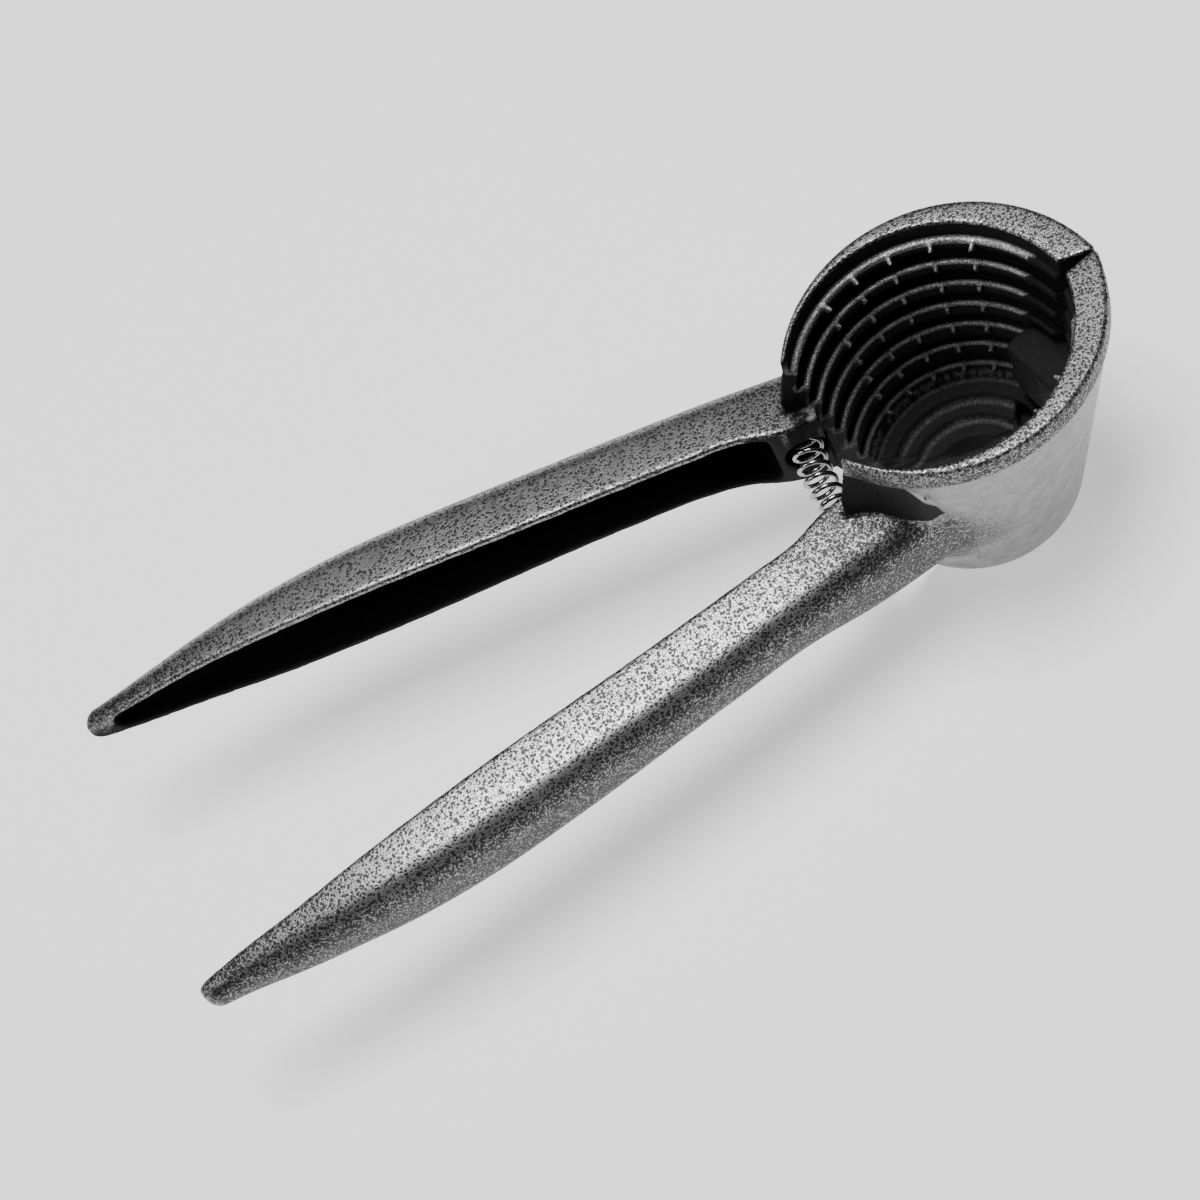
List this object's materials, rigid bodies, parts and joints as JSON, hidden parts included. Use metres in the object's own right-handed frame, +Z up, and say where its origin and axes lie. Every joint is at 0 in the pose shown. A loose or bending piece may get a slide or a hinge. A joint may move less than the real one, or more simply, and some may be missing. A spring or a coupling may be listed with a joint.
{
  "type": "nutcracker",
  "caption": "Hand-held nutcracker: a ribbed funnel cup split into hinged halves, each cast in one with a long squeeze handle, sprung open.",
  "frame": {"origin": "middle of the footprint of the open nutcracker, on the plane that the cup's base stands on", "axes": "+Z up along the hinge axis, out of the cup's mouth; +X from the handle tips towards the hinge; +Y towards the left half"},
  "size_m": [0.1808, 0.0626, 0.05],
  "materials": {
    "left_casting": "silver-grey hammered enamel over die-cast metal, with small dark pits on the rim and the handles and a darker, smoother film inside",
    "right_casting": "silver-grey hammered enamel over die-cast metal, with small dark pits on the rim and the handles and a darker, smoother film inside",
    "pin_steel": "turned bright steel",
    "spring_steel": "bright drawn spring wire"
  },
  "bodies": {
    "right": {"right_half": "right_casting", "hinge_pin": "pin_steel", "spring": "spring_steel"},
    "left": {"left_half": "left_casting"}
  },
  "joints": [
    {"name": "squeeze", "type": "hinge", "parent": "right", "child": "left", "pos_m": [0.07758, 0, 0.018], "axis": [0, 0, 1], "range_deg": [0, 17.5], "stiffness_Nm_per_rad": 0.9, "springref_deg": -8.59, "deforming": ["spring"]}
  ]
}
